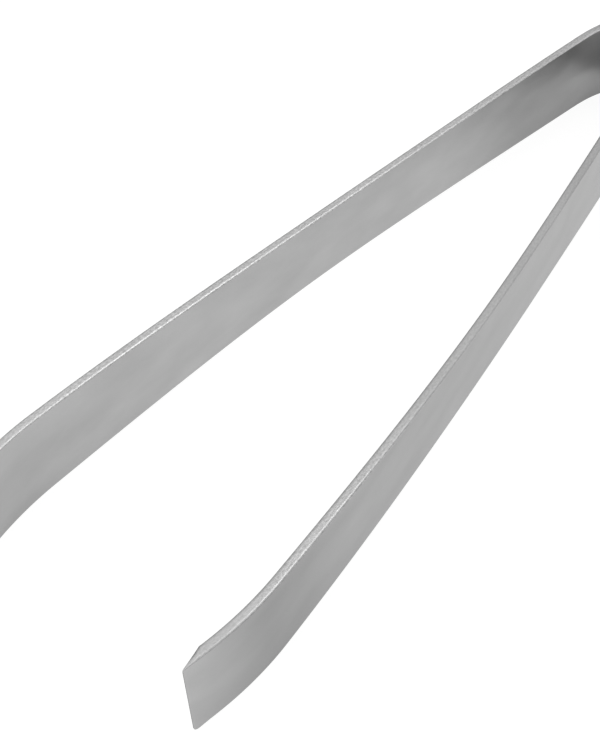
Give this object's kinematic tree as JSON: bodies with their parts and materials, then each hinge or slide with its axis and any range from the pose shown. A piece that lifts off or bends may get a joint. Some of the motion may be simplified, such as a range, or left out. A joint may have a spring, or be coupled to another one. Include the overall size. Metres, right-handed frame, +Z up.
{
  "type": "stamp tongs",
  "caption": "Spring-steel stamp tongs: a waisted flat strip bent into a round bow, with wide square toed-in tips ground thin on the inside.",
  "frame": {"origin": "on the plane of symmetry, under the middle of the overall length, level with the lower edges of the tips", "axes": "+X from the bow to the tips, +Y towards the left arm (seen from the bow), +Z up across the strip's width; the tongs lie on the edges of the strip"},
  "size_m": [0.119, 0.0356, 0.012],
  "materials": {
    "satin_steel": "satin, brushed along the strip, with brighter rounded edges"
  },
  "bodies": {
    "bow": {"bow": "satin_steel"},
    "left_leg": {"left_leg": "satin_steel"},
    "left_blade": {"left_blade": "satin_steel"},
    "right_leg": {"right_leg": "satin_steel"},
    "right_blade": {"right_blade": "satin_steel"}
  },
  "joints": [
    {"name": "left_leg_flex", "type": "hinge", "parent": "bow", "child": "left_leg", "pos_m": [-0.04949, 0.00568, 0.006], "axis": [0, 0, -1], "range_deg": [0, 6.71], "stiffness_Nm_per_rad": 8},
    {"name": "left_blade_flex", "type": "hinge", "parent": "left_leg", "child": "left_blade", "pos_m": [-0.00448, 0.01234, 0.006], "axis": [0, 0, -1], "range_deg": [0, 3.14], "stiffness_Nm_per_rad": 3.3},
    {"name": "right_leg_flex", "type": "hinge", "parent": "bow", "child": "right_leg", "pos_m": [-0.04949, -0.00568, 0.006], "axis": [0, 0, 1], "range_deg": [0, 6.71], "stiffness_Nm_per_rad": 8},
    {"name": "right_blade_flex", "type": "hinge", "parent": "right_leg", "child": "right_blade", "pos_m": [-0.00448, -0.01234, 0.006], "axis": [0, 0, 1], "range_deg": [0, 3.14], "stiffness_Nm_per_rad": 3.3}
  ],
  "couplings": [
    {"joint": "right_leg_flex", "follows": "left_leg_flex", "ratio": 1},
    {"joint": "left_blade_flex", "follows": "left_leg_flex", "ratio": 0.467},
    {"joint": "right_blade_flex", "follows": "left_leg_flex", "ratio": 0.467}
  ]
}
